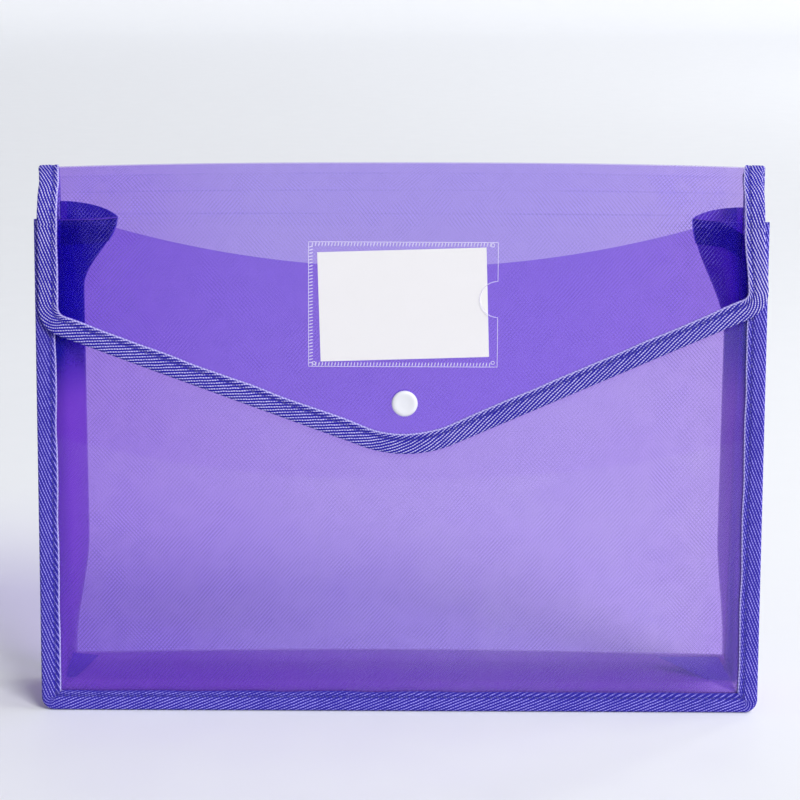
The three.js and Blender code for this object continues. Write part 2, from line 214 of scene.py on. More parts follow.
def unit(v):
    return v / np.linalg.norm(v)


def inset_chain(chain, inset):
    """The chain (x, h, r) moved to its left by inset, with mitred corners."""
    points = np.array([c[:2] for c in chain], float)
    left = [unit(np.array([a[1] - b[1], b[0] - a[0]])) for a, b in zip(points, points[1:])]
    moved = []
    for k, (_, _, r) in enumerate(chain):
        before, after = left[max(k - 1, 0)], left[min(k, len(left) - 1)]
        place = points[k] + inset * (before + after) / (1 + before @ after)
        moved.append((place, max(r - inset, SMALLEST_CORNER) if r > 0 else 0.0))
    return moved


def path(chain, inset, step=3.0, arc=14):
    """Points along a chain, as many for every inset, with an even step."""
    base = inset_chain(chain, 0)
    moved = inset_chain(chain, inset)

    def corner(corners, k):
        place, r = corners[k]
        if not 0 < k < len(corners) - 1 or r == 0:
            return place, place, None
        back = unit(corners[k - 1][0] - place)
        ahead = unit(corners[k + 1][0] - place)
        half = math.acos(np.clip(back @ ahead, -1, 1)) / 2
        centre = place + unit(back + ahead) * r / math.sin(half)
        reach = r / math.tan(half)
        return place + back * reach, place + ahead * reach, centre

    out = []
    for k in range(len(chain)):
        start, end, centre = corner(moved, k)
        if centre is not None:
            u, v = start - centre, end - centre
            turn = math.acos(np.clip(unit(u) @ unit(v), -1, 1))
            for i in range(arc + 1):
                t = i / arc
                a, b = math.sin((1 - t) * turn), math.sin(t * turn)
                out.append(centre + (u * a + v * b) / math.sin(turn))
        else:
            out.append(start)
        if k + 1 < len(chain):
            here, there = corner(base, k)[1], corner(base, k + 1)[0]
            steps = max(1, round(np.linalg.norm(there - here) / step))
            goal = corner(moved, k + 1)[0]
            out += [end + (goal - end) * i / steps for i in range(1, steps)]
    return np.array(out)


def tray(top, bottom=0.0):
    """A panel's left side, foot and right side as a chain."""
    return (
        (-HALF_WIDTH, top, 0.0),
        (-HALF_WIDTH, bottom, CORNER),
        (HALF_WIDTH, bottom, CORNER),
        (HALF_WIDTH, top, 0.0),
    )


def lerp(a, b, t):
    return a + (b - a) * t


def smooth(t):
    t = np.clip(t, 0, 1)
    return t * t * (3 - 2 * t)


def wobble(s, seed, wave=40.0):
    """Slow irregularity of hand-sewn work, from -1 to 1."""
    return (
        np.sin(s / wave * 2 * np.pi + seed)
        + 0.6 * np.sin(s / wave * 5.3 + 2.1 * seed)
        + 0.4 * np.sin(s / wave * 11.7 + 3.7 * seed)
    ) / 2


def arched(verts):
    """The top ridge stands up in a low arch and a little higher on the right."""
    x, z = verts[:, 0], verts[:, 2]
    crown = ARCH_RISE * (1 - np.abs(x / HALF_WIDTH) ** ARCH_POWER)
    tilt = ARCH_LIFT + ARCH_TILT * x / HALF_WIDTH
    out = verts.copy()
    out[:, 2] += (crown + tilt) * smooth((z - ARCH_FROM) / ARCH_OVER)
    return out


def narrowed(verts):
    """The flap's tapes draw in a little where the folds carry them over the top."""
    x, y, z = verts[:, 0], verts[:, 1], verts[:, 2]
    near_ridge = smooth((z - (RIDGE[1] - DRAW_EASE)) / DRAW_EASE)

    def draw(amount, start, over, eased):
        return amount * smooth((z - start) / over) * (1 - eased * near_ridge)

    pull = np.where(x < 0, draw(*DRAW_LEFT), draw(*DRAW_RIGHT))
    out = verts.copy()
    out[:, 0] -= pull * smooth((RIDGE[0] - y) / DRAW_BAND) * x / HALF_WIDTH
    return out


def draped(verts):
    return arched(narrowed(verts))


def tube_faces(rings, sides):
    """Faces of a stack of closed rings with both ends shut."""
    index = np.arange(rings * sides).reshape(rings, sides)
    ahead = np.roll(index, -1, 1)
    faces = quads(index[:-1], ahead[:-1], ahead[1:], index[1:])
    return faces + [index[0, ::-1].tolist(), index[-1].tolist()]


# Materials


class Shader:
    """The nodes of a material or of the world, made one by one."""

    def __init__(self, owner):
        self.owner = owner
        owner.use_nodes = True
        self.tree = owner.node_tree
        self.tree.nodes.clear()

    def node(self, kind, settings=None, **inputs):
        """A node of a kind; an input is given by its name, or as _2 by its number."""
        n = self.tree.nodes.new("ShaderNode" + kind)
        for key, value in (settings or {}).items():
            setattr(n, key, value)
        for key, value in inputs.items():
            socket = n.inputs[int(key[1:]) if key[0] == "_" else key.replace("_", " ")]
            if isinstance(value, bpy.types.NodeSocket):
                self.tree.links.new(value, socket)
            elif isinstance(value, bpy.types.Node):
                self.tree.links.new(value.outputs[0], socket)
            else:
                socket.default_value = value
        return n

    def math(self, operation, a, b=0.0, c=0.0):
        return self.node("Math", {"operation": operation}, _0=a, _1=b, _2=c)

    def plus(self, a, b):
        return self.math("ADD", a, b)

    def minus(self, a, b):
        return self.math("SUBTRACT", a, b)

    def size(self, a):
        return self.math("ABSOLUTE", a)

    def times(self, a, *others):
        for b in others:
            a = self.math("MULTIPLY", a, b)
        return a

    def scaled(self, a, factor, start):
        return self.math("MULTIPLY_ADD", a, factor, start)

    def wave(self, a, step):
        """A sine that comes round once in each step of a."""
        return self.math("SINE", self.times(a, 2 * math.pi / step))

    def remap(self, value, low, high, to_low=0.0, to_high=1.0):
        return self.node(
            "MapRange",
            {"interpolation_type": "SMOOTHSTEP"},
            Value=value, From_Min=low, From_Max=high, To_Min=to_low, To_Max=to_high,
        )

    def mix(self, factor, a, b):
        return self.node("Mix", {"data_type": "RGBA"}, _0=factor, _6=a, _7=b).outputs[2]

    def veil(self, colour, amount, more_colour, more):
        """Haze with more haze of another colour in it: its colour and amount."""
        both = self.plus(more, amount)
        return self.mix(self.math("DIVIDE", more, both), colour, more_colour), both

    def uv(self):
        """The mesh's own u and v, in millimetres."""
        place = self.node("UVMap", {"uv_map": "along"})
        split = self.node("SeparateXYZ", Vector=place)
        return [self.times(split.outputs[i], 1 / MM) for i in (0, 1)]

    def noise(self, scale, detail=2.0):
        place = self.node("TexCoord").outputs["Object"]
        return self.node(
            "TexNoise", Vector=place, Scale=scale, Detail=detail, Roughness=0.5
        ).outputs[0]

    def outside(self):
        """1 where a face is seen from outside its sheet, 0 from within."""
        return self.minus(1.0, self.node("NewGeometry").outputs["Backfacing"])

    def bump(self, height, distance, strength=1.0):
        return self.node("Bump", Height=height, Distance=distance, Strength=strength)

    def surface(self, shader, kind="OutputMaterial"):
        self.node(kind, Surface=shader)
        return self.owner


def rgb(*colour):
    """A display colour as linear numbers."""
    shares = [v / 255 for v in colour]
    return (*(v / 12.92 if v <= 0.04045 else ((v + 0.055) / 1.055) ** 2.4 for v in shares), 1.0)


# Embossed lines and score lines of the sheets
LINE_STEP = 1.8
LINE_SLOPE = 0.88
LINE_WANDER = 0.8
LINE_COLOUR = (0.30, 0.23, 0.80, 1)
DARK_LINE = (0.10, 0.05, 0.50, 1)
SCORE_DOT = 1.9
SCORE_HAZE = 0.12

# Painted reflection on the part of the front sheet that the flap leaves bare: the flap's point (x,
# height), the rise of its two edges, and the low arc below which the painted reflection is stronger
FLAP_TIP = (3.8, 120.0)
FLAP_RISES = (-0.361, 0.434)
ARC_TOP, ARC_RISE, ARC_REACH, ARC_POWER = 109.0, 15.0, 140.0, 2.2
REFLECTION_WHITE = (0.85, 0.86, 0.90, 1)
# Amounts of the painted reflection: over all the bare part, more below the arc, more towards the
# right.
BARE_REFLECTION, ARC_REFLECTION, RIGHT_REFLECTION = 0.012, 0.03, 0.08

# Depth of the film's bump, and how soon the crowding and painted shade give the gusset its deepest
# tint
FILM_BUMP = 0.08
DEEP_SPREAD = 1.5


def embossed_lines(s, u, v):
    """Fine lines pressed into the film, rising and falling, broken here and there."""
    both = []
    for slope in (LINE_SLOPE, -LINE_SLOPE):
        slant = s.minus(u, s.times(v, slope))
        wander = s.times(s.noise(60, 1), LINE_WANDER)
        ridge = s.remap(s.wave(s.plus(slant, wander), LINE_STEP), 0.45, 1.0)
        both.append(s.times(ridge, s.remap(s.noise(110, 3), 0.35, 0.6, 0.35, 1.0)))
    return both


def panel_lines(s, u, v):
    """Lines of the flap and the back: patchy, and strongest towards the sides."""
    off_middle = s.size(u)
    patch = s.remap(s.noise(26, 1), 0.40, 0.60, 0.15, 1.0)
    side = s.times(s.remap(off_middle, 100.0, 128.0), s.remap(off_middle, 142.0, 153.0, 1.0, 0.1))
    rising, falling = embossed_lines(s, u, v)
    rising = s.times(rising, s.scaled(side, 2.0, s.minus(1.1, patch)))
    rim = s.times(s.remap(off_middle, 136.0, 150.0), s.remap(v, -8.0, -2.0, 1.0, 0.0))
    ridge = s.math("MAXIMUM", rising, s.times(falling, patch))
    return s.times(ridge, s.scaled(rim, -0.85, 1.0))


def front_lines(s, u, v):
    """Lines of the front sheet, strongest in its lower left corner."""
    left = s.times(s.remap(u, -150.0, -30.0, 1.0, 0.4), s.remap(v, 40.0, 140.0, 1.0, 0.0))
    rising, falling = embossed_lines(s, u, v)
    rising = s.times(rising, s.scaled(left, 2.0, 0.8))
    return s.math("MAXIMUM", rising, s.times(falling, s.scaled(left, 0.9, 0.3)))


def score_mark(s, u, v, place):
    """A broken dotted line across the sheet."""
    near = s.size(s.minus(v, place))
    dots = s.remap(s.wave(u, SCORE_DOT), -0.8, 0.4, 0.35, 1.0)
    wear_and_sheen = s.remap(s.noise(30, 2), 0.4, 0.6, 0.2, 1.0)
    return s.times(s.remap(near, 0.1, 0.42, 1.0, 0.0), dots, wear_and_sheen, SCORE_HAZE)


def painted_reflection(s, u, v):
    """Painted reflection on the front sheet where the flap leaves it bare, stronger below a low arc
    and towards the right.
    """
    over = s.minus(u, FLAP_TIP[0])
    edge = s.math("MAXIMUM", s.times(over, FLAP_RISES[0]), s.times(over, FLAP_RISES[1]))
    bare = s.remap(s.minus(s.plus(edge, FLAP_TIP[1]), v), -2.0, 2.0)
    arc = s.math("POWER", s.size(s.math("DIVIDE", u, ARC_REACH)), ARC_POWER)
    below = s.minus(s.scaled(arc, ARC_RISE, ARC_TOP), v)
    haze = s.scaled(s.remap(below, -1.2, 1.2), ARC_REFLECTION, BARE_REFLECTION)
    haze = s.plus(haze, s.remap(u, -130.0, 60.0, 0.0, RIGHT_REFLECTION))
    inner = s.times(s.remap(v, 16.0, 34.0), s.remap(s.size(u), 134.0, 152.0, 1.0, 0.0))
    uneven = s.remap(s.noise(40, 4), 0.2, 0.8, 0.85, 1.15)
    return s.times(haze, s.scaled(inner, 0.55, 0.45), uneven, s.outside(), bare)


def clear_plastic(
    name, tint, colour, haze, lines=0.0, gloss=0.3, ior=1.13,
    deep=None, scores=(), wear_and_sheen=False, sides=None,
):
    """Dyed film: what lies behind shows through, tinted, under a thin haze and a gloss.

    deep is the tint and the haze's colour where u is high, for crowded folded layers deepened by
    painted shade, and sides are the tints at the left and the right, painted shade on the left and
    painted light on the right. lines is the haze of the embossed lines. The flag for the front
    sheet gives its own lines and a painted reflection where the flap leaves it bare.
    """
    s = Shader(bpy.data.materials.new(name))
    grain = s.noise(900, 2)
    calm = 0.12 if deep else 0.5
    amount = s.scaled(grain, haze * calm, haze * (1 - calm / 2))
    height = s.times(grain, 0.03 if deep else 0.15)
    u, v = s.uv()
    # Painted shade darkens the tint on the left side; painted light lightens it on the right.
    if sides:
        tint = s.mix(s.remap(u, -HALF_WIDTH, -50.0, 1.0, 0.0), tint, sides[0])
        tint = s.mix(s.remap(u, 60.0, HALF_WIDTH), tint, sides[1])
    if deep:
        share = s.math("MINIMUM", s.times(u, DEEP_SPREAD), 1.0)
        tint = s.mix(share, tint, deep[0])
        colour = s.mix(share, colour, deep[1])
    if lines:
        ridge = s.times((front_lines if wear_and_sheen else panel_lines)(s, u, v), s.outside())
        line_colour = DARK_LINE if wear_and_sheen else LINE_COLOUR
        colour, amount = s.veil(colour, amount, line_colour, s.times(ridge, lines))
        height = s.plus(height, s.times(ridge, 0.5))
    for place in scores:
        amount = s.plus(amount, score_mark(s, u, v, place))
    # Painted reflection on the part of the front sheet that the flap leaves bare.
    if wear_and_sheen:
        colour, amount = s.veil(colour, amount, REFLECTION_WHITE, painted_reflection(s, u, v))
    normal = s.bump(height, FILM_BUMP * MM, 0.6)
    film = s.node("BsdfTransparent", Color=tint)
    body = s.node(
        "BsdfPrincipled",
        Base_Color=colour, Roughness=0.45, Specular_IOR_Level=0.0, Normal=normal,
    )
    shine = s.node("BsdfGlossy", Color=(1, 1, 1, 1), Roughness=gloss, Normal=normal)
    mixed = s.node("MixShader", _0=amount, _1=film, _2=body)
    mirror = s.times(s.node("Fresnel", IOR=ior, Normal=normal), s.outside())
    return s.surface(s.node("MixShader", _0=mirror, _1=mixed, _2=shine))


# Painted highlight along the inner rim of the tapes.
RIM_HIGHLIGHT = (0.62, 0.57, 0.98, 1)
TWILL_ANGLE = math.radians(22.0)
TWILL_STEP = 1.3
YARN_STEP = 1.1
WEAVE_BUMP = 0.22
CORNER_FADE = 6.0
# Painted light: the flap's tape is lighter towards its right end, where the light falls: from where
# to where, and how much.
BRIGHT_FROM, BRIGHT_TO, BRIGHT = 385.0, 400.0, 1.4


def woven_tape(name, dark, light, foot=None):
    """Twill: slanting ribs across the tape, each of short crossing yarns.

    foot is the part of the tape's run whose inner rim gets a painted shadow in place of the painted
    highlight.
    """
    s = Shader(bpy.data.materials.new(name))
    u, v = s.uv()
    width = s.size(v)
    across = s.minus(s.times(width, math.cos(TWILL_ANGLE)), s.times(u, math.sin(TWILL_ANGLE)))
    wander = s.times(s.minus(s.noise(300, 2), 0.5), 0.5)
    rib = s.remap(s.wave(s.plus(across, wander), TWILL_STEP), -0.2, 0.95)
    yarn = s.remap(s.wave(s.plus(u, s.times(across, 0.8)), YARN_STEP), -1, 1)
    fuzz = s.noise(2600, 2)
    rubbed = s.remap(s.noise(420, 3), 0.3, 0.7, 0.7, 1.15)
    weave = s.times(rib, s.scaled(yarn, 0.6, 0.4), rubbed)
    tone = s.plus(s.times(weave, 0.95), s.times(fuzz, 0.2))
    tone = s.times(tone, s.remap(s.noise(45, 2), 0.25, 0.75, 0.85, 1.1))
    # Painted light on the flap's tape towards its right end.
    if not foot:
        tone = s.times(tone, s.remap(u, BRIGHT_FROM, BRIGHT_TO, 1.0, BRIGHT))
    # Painted shade darkens the tape along its sewn groove.
    off_groove = s.size(s.minus(width, GROOVE_AT))
    groove_shade = s.times(s.remap(off_groove, 0.2, 1.2, 1.0, 0.0), s.remap(fuzz, 0.3, 0.6))
    tone = s.times(tone, s.scaled(groove_shade, -0.6, 1.0))
    rim_light_and_shadow = RIM_HIGHLIGHT
    # Along the foot the rim's painted highlight gives way to painted shadow.
    if foot:
        after = s.remap(u, foot[0] - CORNER_FADE, foot[0] + CORNER_FADE)
        before = s.remap(u, foot[1] - CORNER_FADE, foot[1] + CORNER_FADE, 1.0, 0.0)
        rim_light_and_shadow = s.mix(s.times(after, before), RIM_HIGHLIGHT, dark)
    rim = s.remap(width, TAPE_WIDTH - 0.8, TAPE_WIDTH - 0.35)
    colour = s.mix(s.remap(tone, 0.1, 1.0), dark, light)
    colour = s.mix(s.times(rim, s.scaled(yarn, 0.4, 0.4)), colour, rim_light_and_shadow)
    normal = s.bump(s.plus(weave, s.times(fuzz, 0.3)), WEAVE_BUMP * MM, 0.9)
    return s.surface(
        s.node(
            "BsdfPrincipled",
            Base_Color=colour, Roughness=0.62, Normal=normal, Specular_IOR_Level=0.15,
        )
    )


def plain(name, colour, roughness, grain=600, depth=0.01, mottle=0.04, coat=0.0):
    """Solid plastic, paper or thread with a fine grain."""
    s = Shader(bpy.data.materials.new(name))
    fine = s.noise(grain, 4)
    cloud = s.noise(grain / 15, 2)
    darker = tuple(c * (1 - mottle) for c in colour[:3]) + (1.0,)
    return s.surface(
        s.node(
            "BsdfPrincipled",
            Base_Color=s.mix(cloud, colour, darker),
            Roughness=s.remap(fine, 0.2, 0.8, roughness * 0.85, roughness * 1.15),
            Normal=s.bump(fine, depth * MM, 0.5),
            Coat_Weight=coat,
        )
    )


PANEL_HAZE = (0.05, 0.02, 0.66, 1)
panel_plastic = clear_plastic(
    "panel_plastic", (0.845, 0.795, 0.975, 1), PANEL_HAZE, 0.02, lines=0.12, ior=1.08,
    scores=(0.0, SPINE_PITCH, 2 * SPINE_PITCH),
    # Side tints: painted shade on the left, painted light on the right.
    sides=((0.815, 0.735, 0.958, 1), (0.868, 0.808, 0.970, 1)),
)
# The front sheet gets its own lines and a painted reflection on its bare part.
front_plastic = clear_plastic(
    "front_plastic", (0.80, 0.69, 0.957, 1), PANEL_HAZE, 0.02, lines=0.15, wear_and_sheen=True
)
gusset_plastic = clear_plastic(
    "gusset_plastic", (0.86, 0.74, 0.93, 1), (0.50, 0.24, 0.77, 1), 0.42, gloss=0.2, ior=1.06,
    # Deep tint and haze colour: crowded layers and painted shade at the upper ends.
    deep=((0.46, 0.19, 0.92, 1), (0.004, 0.0, 0.44, 1)),
)
hem_plastic = clear_plastic(
    "gusset_hem_plastic", (0.55, 0.50, 0.93, 1), (0.004, 0.001, 0.22, 1), 0.10, gloss=0.15
)
pocket_film = clear_plastic(
    "pocket_film", (0.996, 0.994, 1.0, 1), (0.80, 0.76, 0.97, 1), 0.006, gloss=0.08
)
film_weld = clear_plastic(
    "film_weld", (0.97, 0.96, 1.0, 1), (0.90, 0.88, 1.0, 1), 0.5, gloss=0.15
)
flap_tape = woven_tape("flap_tape", (0.012, 0.007, 0.33, 1), (0.64, 0.58, 1.0, 1))
body_tape = woven_tape(
    "body_tape", (0.024, 0.017, 0.33, 1), (0.38, 0.33, 0.97, 1),
    foot=(FRONT_HEIGHT, FRONT_HEIGHT + 2 * HALF_WIDTH),
)
thread = plain("thread", (0.06, 0.05, 0.30, 1), 0.7, grain=4000, depth=0.03)
snap_white = plain("snap_white", rgb(231, 232, 238), 0.32, grain=500, depth=0.008, coat=0.1)
card_white = plain("card_white", rgb(237, 236, 235), 0.75, grain=1800, depth=0.02, mottle=0.02)


# Sheets

# A sheet's points: their spacing, those across a join, and sides of a hole and room round it
CELL = 6.0
JOIN_POINTS = 55
HOLE_SIDES, HOLE_ROOM = 24, 1.0
# Band along the edges in which the bulge sets in
BULGE_BAND = 32.0


def sheet_piece(
    name, plane, outline, middle, s_of_h, bulge,
    hole=None, material=panel_plastic, join=None, shape=None,
):
    """A flat-cut sheet of even thickness with a slight bulge away from its edges.

    join is the height of the edge where it goes on into a fold: it gets no rim.
    """
    outline = np.asarray(outline, float)
    if join is not None:
        across = np.linspace(outline[-1], outline[0], JOIN_POINTS + 2)[1:-1]
        outline = np.concatenate([outline, across])
    loops = [outline]
    if hole is not None:
        x, h, r = hole
        turn = np.linspace(0, 2 * np.pi, HOLE_SIDES, endpoint=False)
        loops.append(np.stack([x + r * np.cos(turn), h + r * np.sin(turn)], 1))
    edges, base = [], 0
    for loop in loops:
        n = len(loop)
        edges += [(base + i, base + (i + 1) % n) for i in range(n)]
        base += n
    following = np.roll(outline, -1, 0)
    side = following - outline

    def edge_distance(p):
        t = ((p[:, None] - outline) * side).sum(2) / (side**2).sum(1)
        near = outline + np.clip(t, 0, 1)[..., None] * side
        return np.sqrt(((p[:, None] - near) ** 2).sum(2)).min(1)

    def inside(p, room=0.0):
        """Which points lie within the outline and clear of the hole."""
        straddles = (outline[:, 1] > p[:, 1, None]) != (following[:, 1] > p[:, 1, None])
        with np.errstate(divide="ignore", invalid="ignore"):
            at = outline[:, 0] + (p[:, 1, None] - outline[:, 1]) / side[:, 1] * side[:, 0]
        crossings = (straddles & (p[:, 0, None] < at)).sum(1)
        return (crossings % 2 == 1) & (hole is None or np.hypot(*(p - hole[:2]).T) > hole[2] + room)

    low, high = outline.min(0), outline.max(0)
    xs = np.arange(low[0] + CELL / 2, high[0], CELL)
    hs = np.arange(low[1] + CELL / 2, high[1], CELL)
    seeds = np.array([(x, h) for h in hs for x in xs])
    seeds = seeds[inside(seeds, HOLE_ROOM) & (edge_distance(seeds) > CELL * 0.3)]
    cloud = [Vector(p) for p in np.concatenate([*loops, seeds])]
    made = geometry.delaunay_2d_cdt(cloud, edges, [], 0, 1e-5)
    flat, tris = np.array(made[0]), np.array(made[2])
    tris = tris[inside(flat[tris].mean(1))]

    def bulged(x, h):
        x, h = np.broadcast_arrays(np.asarray(x, float), np.asarray(h, float))
        free = smooth(edge_distance(np.stack([x.ravel(), h.ravel()], 1)) / BULGE_BAND)
        return bulge(x, h) * free.reshape(x.shape)

    shift = middle + bulged(flat[:, 0], flat[:, 1])
    n = len(flat)
    front = plane.at(flat[:, 0], flat[:, 1], shift - SHEET / 2)
    rear = plane.at(flat[:, 0], flat[:, 1], shift + SHEET / 2)
    faces = [tuple(t) for t in tris] + [tuple(t[::-1] + n) for t in tris]
    sides = dict.fromkeys((t[k - 1], t[k]) for t in tris for k in (1, 2, 0))
    for i, j in sides:
        joined = join is not None and max(abs(flat[i, 1] - join), abs(flat[j, 1] - join)) < 1e-3
        if (j, i) not in sides and not joined:
            faces.append((j, i, i + n, j + n))
    uv = np.stack([flat[:, 0], s_of_h(flat[:, 1])], 1)
    maker = Maker()
    maker.add(np.concatenate([front, rear]), faces, np.concatenate([uv, uv]))
    return maker.object(name, [material], shape=shape), bulged


def mouth_edge(count=60):
    radius = (MOUTH_REACH**2 + MOUTH_DIP**2) / (2 * MOUTH_DIP)
    centre = FRONT_HEIGHT - MOUTH_DIP + radius
    end = math.atan2(FRONT_HEIGHT - centre, MOUTH_REACH)
    turn = np.linspace(end, -math.pi - end, count)
    return np.stack([radius * np.cos(turn), centre + radius * np.sin(turn)], 1)


# The snap lies below the flap's first line, which is FLAP_RISE up the front sheet.
FLAP_RISE = 228.262
SNAP_X = 1.7
SNAP_DROP = 84.5
SNAP_RISE = FLAP_RISE - SNAP_DROP
SNAP_HOLE = 1.5
FRONT_RUN = 0.7


# Bulge of each sheet: a broad one across it, and a shallow wave over it


def front_bulge(x, h):
    return 0.5 * np.sin(x / 70 + 0.6) * np.cos(h / 60) - 0.35 * np.cos(x / 110)


def flap_bulge(x, h):
    return -0.3 * np.cos(x / 150) + 0.1 * np.sin(x / 45 + h / 60)


def back_bulge(x, h):
    return 0.8 * np.cos(x / 105) + 0.35 * np.sin(x / 60 + h / 55)


def flap_sides(top):
    return ((-HALF_WIDTH, top, 0.0), *FLAP_CHAIN, (HALF_WIDTH, top, 0.0))


# The v of the back, the strips and the flap is one run, with its score lines on the folds.
back_sheet, _ = sheet_piece(
    "back_sheet", BACK, path(tray(BACK_LENGTH - HALF_STRIP), EDGE_INSET, CELL), PANEL_OFFSET,
    lambda h: SPINE_LENGTH + BACK_LENGTH - h, back_bulge,
    join=BACK_LENGTH - HALF_STRIP, shape=arched,
)
front_outline = np.concatenate([path(tray(FRONT_HEIGHT), EDGE_INSET, CELL), mouth_edge()])
front_sheet, front_bulged = sheet_piece(
    "front_sheet", FRONT, front_outline, -PANEL_OFFSET, lambda h: h + FRONT_RUN, front_bulge,
    hole=(SNAP_X, SNAP_RISE, SNAP_HOLE), material=front_plastic,
)
flap_sheet, flap_bulged = sheet_piece(
    "flap_sheet", FLAP, path(flap_sides(-HALF_STRIP), EDGE_INSET, CELL), 0.0, lambda h: h,
    flap_bulge, hole=(SNAP_X, -SNAP_DROP, SNAP_HOLE), join=-HALF_STRIP, shape=draped,
)
for piece, body, node in (
    (back_sheet, "back", "back_panel"),
    (front_sheet, "front", "front_panel"),
    (flap_sheet, "flap", "flap_panel"),
):
    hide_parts(node)
    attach(piece, body)


# Tapes

GROOVE_WIDTH = 1.1
GROOVE_DEPTH = 0.32
ROUND = 1.3
LIP, LIP_WIDTH = 0.18, 0.5
STITCH_STEP, STITCH_LONG, STITCH_THICK, STITCH_ARCH = 3.0, 2.1, 0.24, 0.12
STITCH_SUNK = 0.08
TAPE_FOOT = 0.02
# Wander of the tape's inner edge, how much its thickness varies, and over what length
TAPE_DRIFT, PUFF, PUFF_WAVE = 0.3, 0.06, 23.0


def tape_section(half, slot):
    """Folded tape in section: (inset from the outer edge, offset, signed width)."""

    def rise(a):
        edge = math.sqrt(max(0.0, 1 - (max(ROUND - a, 0) / ROUND) ** 2))
        dent = GROOVE_DEPTH * max(0.0, 1 - ((a - GROOVE_AT) / GROOVE_WIDTH) ** 2) ** 2
        lip = LIP * max(0.0, (a - TAPE_WIDTH + LIP_WIDTH) / LIP_WIDTH) ** 2
        return half * edge - dent - lip

    insets = [TAPE_WIDTH, 9.05, 8.7, 8.2, 7.6, 7.2, 6.9, GROOVE_AT, 6.5, 6.2, 5.8, 5.2, 4.2]
    insets += [3.0, 2.0, ROUND, 0.9, 0.55, 0.25, 0.07]
    outer = [(a, -rise(a), -a) for a in insets] + [(0.0, 0.0, 0.0)]
    outer += [(a, rise(a), a) for a in reversed(insets)]
    inner = [(a, slot, a) for a in (TAPE_WIDTH, GROOVE_AT, 3.5, 1.1)]
    inner += [(TAPE + 0.2, 0.0, 0.0)] + [(a, -slot, -a) for a, _, _ in reversed(inner)]
    return outer + inner


def stitches(maker, points, outward):
    """Small rounded threads along a line, lying in the groove."""
    run = run_of(points)
    along = np.gradient(points, axis=0)
    total = run[-1] - run[0]
    count = int(total / STITCH_STEP)
    rings, sides = 5, 6
    f = math.pi * (np.arange(rings)[:, None, None] + 0.5) / rings
    g = 2 * math.pi * np.arange(sides)[:, None] / sides
    faces = tube_faces(rings, sides)
    for k in range(count):
        s = run[0] + (k + 0.5) * total / count
        centre, t, n = (
            np.array([np.interp(s, run, values[:, i]) for i in range(3)])
            for values in (points, along, outward)
        )
        t, n = unit(t), unit(n)
        w = unit(np.cross(t, n))
        ring = (w * np.cos(g) + n * np.sin(g)) * STITCH_THICK + n * STITCH_ARCH
        maker.add(centre - t * np.cos(f) * STITCH_LONG / 2 + ring * np.sin(f), faces, slot=1)


def run_of(points):
    steps = np.linalg.norm(np.diff(points, axis=0), axis=1)
    return np.concatenate([[0], np.cumsum(steps)])


def tape_piece(name, plane, chain, half, slot, material, seed, shape=None):
    """Tape folded round a sheet's edge and sewn through, along a chain."""
    base = path(chain, 0.0)
    run = run_of(base)
    maker = Maker()
    rows, uvs = [], []
    for a, b, v in tape_section(half, slot):
        points = path(chain, a)
        inward = path(chain, a + 0.5) - points
        inward /= np.maximum(np.linalg.norm(inward, axis=1), 1e-6)[:, None]
        drift = wobble(run, seed) * TAPE_DRIFT * smooth((a - 5) / 4)
        points = points + inward * drift[:, None]
        puff = 1 - PUFF * (0.5 + 0.5 * wobble(run, seed + 1.7, PUFF_WAVE))
        rows.append(plane.at(points[:, 0], points[:, 1], b * (puff if a < 9 else 1)))
        uvs.append(np.stack([run, np.full(len(run), v)], 1))
    maker.grid(np.array(rows), np.array(uvs), closed=True, caps=True)
    line = path(chain, GROOVE_AT)
    for side in (-1, 1):
        depth = side * (half - GROOVE_DEPTH - STITCH_SUNK)
        place = plane.at(line[:, 0], line[:, 1], depth)
        stitches(maker, place, np.broadcast_to(plane.rear * side, place.shape))
    return maker.object(name, [material, thread], shape=shape)


back_tape = tape_piece(
    "back_tape", BACK, tray(BACK_LENGTH - HALF_STRIP, TAPE_FOOT),
    BODY_HALF, BODY_SLOT, body_tape, 0.4, arched,
)
front_tape = tape_piece(
    "front_tape", FRONT, tray(FRONT_HEIGHT, TAPE_FOOT), BODY_HALF, BODY_SLOT, body_tape, 2.2
)
flap_edge = tape_piece(
    "flap_tape", FLAP, flap_sides(-HALF_STRIP), FLAP_HALF, FLAP_SLOT, flap_tape, 4.1, draped
)
for piece, body, node in (
    (back_tape, "back", "back_binding"),
    (front_tape, "front", "front_binding"),
    (flap_edge, "flap", "flap_binding"),
):
    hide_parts(node)
    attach(piece, body)


# Folds over the top


def fold_profile(k, bend, steps=9):
    """Side view of the sheet across fold k: (y, z) points, normals and sheet lengths."""
    before, after = directions[k], directions[k + 1]
    start, end = folds[k] - before * HALF_STRIP, folds[k] + after * HALF_STRIP
    one, two = folds[k] - before * bend, folds[k] + after * bend
    points = [lerp(start, one, t) for t in np.linspace(0, 1, 4)[:-1]]
    for t in np.linspace(0, 1, steps):
        points.append(one * (1 - t) ** 2 + folds[k] * 2 * t * (1 - t) + two * t**2)
    points += [lerp(two, end, t) for t in np.linspace(0, 1, 4)[1:]]
    points = np.array(points)
    along = np.gradient(points, axis=0)
    along[0], along[-1] = before, after
    along /= np.linalg.norm(along, axis=1)[:, None]
    normals = np.stack([along[:, 1], -along[:, 0]], 1)
    run = run_of(points)
    run = (run / run[-1] - 0.5) * SPINE_PITCH
    return points, normals, SPINE_LENGTH - SPINE_PITCH * k - run


# Bends of the sheet and of its tape, at the ridge and at the score lines
SHEET_BENDS = (2.2, 1.1)
TAPE_BENDS = (3.2, 2.2)
FOLD_COLUMNS = 56
SCORE_DEPTH, SCORE_WIDTH = 0.12, 0.45


